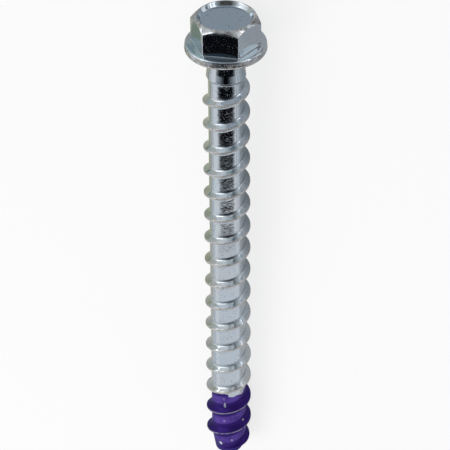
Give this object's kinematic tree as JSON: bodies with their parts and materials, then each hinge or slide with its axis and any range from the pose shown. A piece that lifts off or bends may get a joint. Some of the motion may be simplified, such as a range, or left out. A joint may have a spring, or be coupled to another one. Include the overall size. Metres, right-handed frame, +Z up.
{
  "type": "hex flange head screw anchor",
  "caption": "Hex washer head concrete screw with an indented top, wide-pitch right-hand thread and a paint-dipped blunt tip, lying as it rests.",
  "frame": {"origin": "on the surface the screw lies on, under the centre of its bounding box", "axes": "+Y along the screw's length towards the head, +Z up, +X to the right when the head points away"},
  "size_m": [0.013, 0.0862, 0.013],
  "materials": {
    "zinc_plated_steel": "bright zinc plate, paint-dipped tip",
    "dip_paint": "satin purple"
  },
  "bodies": {
    "root": {"screw": "zinc_plated_steel"}
  },
  "joints": []
}
